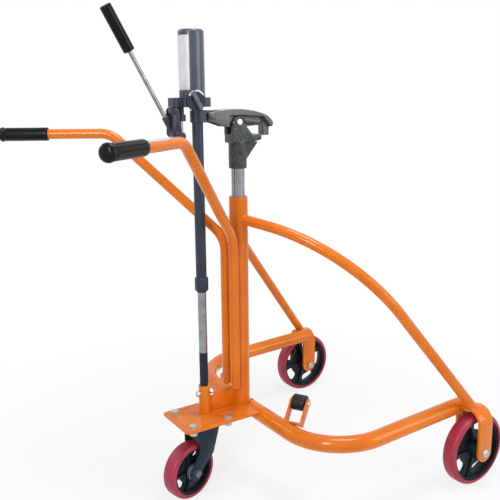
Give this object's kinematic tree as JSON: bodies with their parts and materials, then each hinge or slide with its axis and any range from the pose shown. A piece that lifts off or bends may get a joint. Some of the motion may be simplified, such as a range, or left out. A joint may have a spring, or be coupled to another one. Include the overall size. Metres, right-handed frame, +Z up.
{
  "type": "drum truck",
  "caption": "Steel drum truck: rim clamp on a sliding pole, hand-pumped hydraulic jack, bent push handles, braced legs with guide rollers, and wheels with a rear swivel caster.",
  "frame": {"origin": "on the floor, under the middle of the bounding box", "axes": "X points forward into the bay that takes the container, Y to the left of the person pushing, Z up"},
  "size_m": [1.105, 0.864, 1.2438],
  "materials": {
    "frame_paint": "orange enamel over welded steel tube",
    "jack_paint": "slate grey semi-gloss paint",
    "cast_clamp": "grey paint over rough casting",
    "bright_rod": "polished plated rod",
    "plated_steel": "zinc plated fasteners and pins",
    "black_rubber": "black moulded grip rubber",
    "red_tread": "crimson cast polyurethane tread",
    "wheel_hub": "dark moulded hub",
    "caster_paint": "blue-grey painted pressing",
    "bush_plastic": "black nylon",
    "roller_plastic": "black moulded roller",
    "dial_plastic": "dark dial plate with a pale arc",
    "valve_lever": "grey painted bar"
  },
  "bodies": {
    "frame": {"leg_left": "frame_paint", "leg_right": "frame_paint", "mast_tube": "frame_paint", "mast_bush": "bush_plastic", "base_plate": "frame_paint", "jack_socket": "frame_paint", "socket_bolt": "plated_steel", "gusset_plate": "frame_paint", "handle_left": "frame_paint", "handle_right": "frame_paint", "grip_left": "black_rubber", "grip_right": "black_rubber", "brace_left": "frame_paint", "brace_right": "frame_paint", "fork_left": "frame_paint", "fork_right": "frame_paint", "front_axles": "plated_steel", "roller_bracket_left": "frame_paint", "roller_bracket_right": "frame_paint", "roller_pins": "plated_steel", "caster_plate": "caster_paint", "caster_bolts": "plated_steel", "kingpin": "plated_steel", "jack_rod": "bright_rod", "rod_sleeve": "jack_paint", "jack_piston": "bush_plastic"},
    "clamp_head": {"clamp_head": "cast_clamp", "lift_pole": "bright_rod", "pole_foot": "bush_plastic", "pivot_pin": "plated_steel"},
    "beak": {"beak": "cast_clamp", "beak_pin": "cast_clamp"},
    "jack_body": {"jack_tube": "jack_paint", "gland_nut": "jack_paint", "lift_collar": "jack_paint", "pump_head": "jack_paint", "pump_cylinder": "jack_paint", "reservoir": "jack_paint", "filler_plug": "black_rubber", "pump_link": "jack_paint", "link_pin": "jack_paint", "valve_dial": "dial_plastic"},
    "pump_lever": {"lever_socket": "jack_paint", "lever_rod": "bright_rod", "lever_grip": "black_rubber", "fulcrum_pin": "jack_paint"},
    "pump_plunger": {"pump_plunger": "bright_rod"},
    "release_lever": {"release_lever": "valve_lever"},
    "caster_swivel": {"caster_fork": "caster_paint", "swivel_race": "caster_paint", "caster_axle": "plated_steel"},
    "caster_wheel": {"caster_hub": "wheel_hub", "caster_tread": "red_tread"},
    "front_wheel_left": {"front_hub_left": "wheel_hub", "front_tread_left": "red_tread"},
    "front_wheel_right": {"front_hub_right": "wheel_hub", "front_tread_right": "red_tread"},
    "guide_roller_left": {"guide_roller_left": "roller_plastic"},
    "guide_roller_right": {"guide_roller_right": "roller_plastic"}
  },
  "joints": [
    {"name": "lift", "type": "slide", "parent": "frame", "child": "clamp_head", "axis": [0, 0, 1], "range_m": [-0.065, 0.135]},
    {"name": "jack_slide", "type": "slide", "parent": "clamp_head", "child": "jack_body", "axis": [0, 0, 1], "range_m": [-0.028, 0.004]},
    {"name": "beak_pivot", "type": "hinge", "parent": "clamp_head", "child": "beak", "pos_m": [-0.05647, 0, 0.977], "axis": [0, -1, 0], "range_deg": [-3.2, 20.5]},
    {"name": "lever_pivot", "type": "hinge", "parent": "jack_body", "child": "pump_lever", "pos_m": [-0.22947, 0, 0.955], "axis": [0, -1, 0], "range_deg": [-4, 50]},
    {"name": "plunger_slide", "type": "slide", "parent": "jack_body", "child": "pump_plunger", "axis": [0, 0, 1], "range_m": [-0.002, 0.0192]},
    {"name": "release_turn", "type": "hinge", "parent": "jack_body", "child": "release_lever", "pos_m": [-0.18347, -0.031, 1.031], "axis": [0, 1, 0], "range_deg": [0, 60]},
    {"name": "caster_turn", "type": "hinge", "parent": "frame", "child": "caster_swivel", "pos_m": [-0.17447, 0, 0.1865], "axis": [0, 0, 1], "continuous": true},
    {"name": "caster_roll", "type": "hinge", "parent": "caster_swivel", "child": "caster_wheel", "pos_m": [-0.22299, -0.0121, 0.075], "axis": [-0.2419, 0.9703, 0], "continuous": true},
    {"name": "front_roll_left", "type": "hinge", "parent": "frame", "child": "front_wheel_left", "pos_m": [0.45253, 0.382, 0.1], "axis": [0, 1, 0], "continuous": true},
    {"name": "front_roll_right", "type": "hinge", "parent": "frame", "child": "front_wheel_right", "pos_m": [0.45253, -0.382, 0.1], "axis": [0, 1, 0], "continuous": true},
    {"name": "guide_roll_left", "type": "hinge", "parent": "frame", "child": "guide_roller_left", "pos_m": [0.03679, 0.154, 0.252], "axis": [0.5, 0.866, 0], "continuous": true},
    {"name": "guide_roll_right", "type": "hinge", "parent": "frame", "child": "guide_roller_right", "pos_m": [0.03679, -0.154, 0.252], "axis": [0.5, -0.866, 0], "continuous": true}
  ],
  "couplings": [
    {"joint": "beak_pivot", "follows": "jack_slide", "rad_per_m": -12.547},
    {"joint": "plunger_slide", "follows": "lever_pivot", "m_per_rad": 0.0213}
  ]
}
